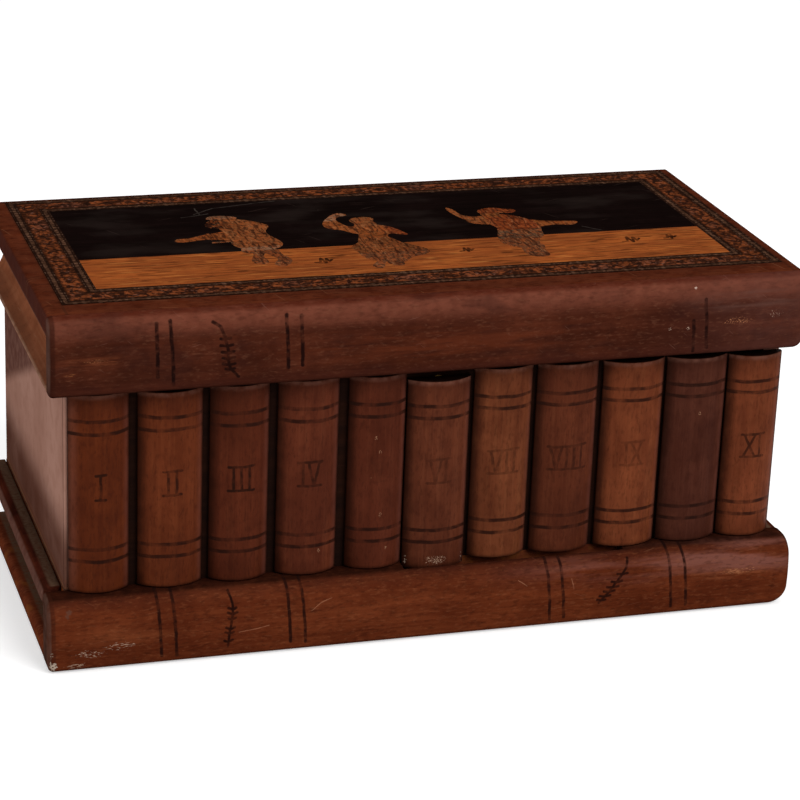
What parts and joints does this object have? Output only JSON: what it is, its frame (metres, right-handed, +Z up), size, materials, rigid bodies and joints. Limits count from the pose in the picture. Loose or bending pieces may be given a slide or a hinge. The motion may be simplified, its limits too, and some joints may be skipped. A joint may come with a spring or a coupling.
{
  "type": "ditty box",
  "caption": "Wooden keepsake box shaped as a row of upright book backs between two books lying flat, with an inlaid picture on its hinged lid and a hidden sliding-spine lock.",
  "frame": {"origin": "on the table under the middle of the box", "axes": "+X along the row of books towards the last one, +Y from the front to the hinged back, +Z up"},
  "size_m": [0.2552, 0.128, 0.1195],
  "materials": {
    "stained_cover_wood": "worn satin varnish over red-brown stain",
    "stained_book_wood": "worn satin varnish over red-brown stain",
    "stained_case_wood": "thin worn varnish",
    "bare_page_wood": "bare, grubby with handling",
    "inlay_black": "polished, scratched",
    "inlay_tan": "polished, scratched",
    "inlay_orange": "polished, scratched",
    "inlay_checked": "polished dark and pale checks",
    "inlay_cream": "polished, scratched",
    "inlay_red_brown": "polished, scratched",
    "brass": "dull",
    "steel": "dull",
    "key_iron": "dark, rubbed",
    "lining_paper": "matt paper"
  },
  "bodies": {
    "case": {"base_lower_cover": "stained_cover_wood", "base_page_block": "bare_page_wood", "base_upper_cover": "stained_cover_wood", "base_strip_right": "stained_cover_wood", "case_side_left": "stained_case_wood", "case_side_right": "stained_case_wood", "case_front": "stained_case_wood", "case_back": "stained_case_wood", "keyhole_plate": "brass", "hinge_screws_case": "brass", "hinge_leaves_case": "brass", "hinge_pins": "steel", "lock_case": "steel", "lining_floor": "lining_paper", "lining_walls": "lining_paper", "book_01": "stained_book_wood", "book_02": "stained_book_wood", "book_03": "stained_book_wood", "book_04": "stained_book_wood", "book_05": "stained_book_wood", "book_07": "stained_book_wood", "book_08": "stained_book_wood", "book_09": "stained_book_wood", "book_10": "stained_book_wood", "book_11": "stained_book_wood"},
    "strip": {"base_strip_left": "stained_cover_wood", "base_strip_key": "bare_page_wood"},
    "spine": {"base_spine": "stained_cover_wood", "base_spine_battens": "bare_page_wood"},
    "trick_book": {"book_06": "stained_book_wood", "book_06_pin": "brass"},
    "lid": {"lid_spine": "stained_cover_wood", "lid_top_board": "stained_cover_wood", "lid_page_end_left": "bare_page_wood", "lid_page_end_right": "bare_page_wood", "lid_front_rail": "stained_case_wood", "lid_lock_ledge": "stained_case_wood", "lid_back_rail": "stained_case_wood", "lid_strike_plate": "brass", "lining_lid": "lining_paper", "inlay_line_outer": "inlay_checked", "inlay_band": "inlay_orange", "inlay_line_inner": "inlay_checked", "inlay_dancer_left": "inlay_cream", "inlay_dancer_middle": "inlay_cream", "inlay_dancer_right": "inlay_red_brown", "inlay_night_sky": "inlay_black", "inlay_ground": "inlay_tan", "hinge_leaves_lid": "brass", "hinge_screws_lid": "brass"},
    "bolt": {"lock_bolt": "steel"},
    "key": {"key": "key_iron"}
  },
  "joints": [
    {"name": "strip_slide", "type": "slide", "parent": "case", "child": "strip", "axis": [0, 1, 0], "range_m": [0, 0.012]},
    {"name": "spine_slide", "type": "slide", "parent": "case", "child": "spine", "axis": [-1, 0, 0], "range_m": [0, 0.055]},
    {"name": "trick_book_slide", "type": "slide", "parent": "case", "child": "trick_book", "axis": [0, 0, -1], "range_m": [-0.0019, 0.0151]},
    {"name": "lid_hinge", "type": "hinge", "parent": "case", "child": "lid", "pos_m": [0, 0.0621, 0.0933], "axis": [-1, 0, 0], "range_deg": [0, 95]},
    {"name": "bolt_slide", "type": "slide", "parent": "case", "child": "bolt", "axis": [0, 0, 1], "range_m": [0, 0.0045]},
    {"name": "key_play", "type": "slide", "parent": "case", "child": "key", "axis": [1, 0, 0], "range_m": [-0.0035, 0.0035]}
  ]
}
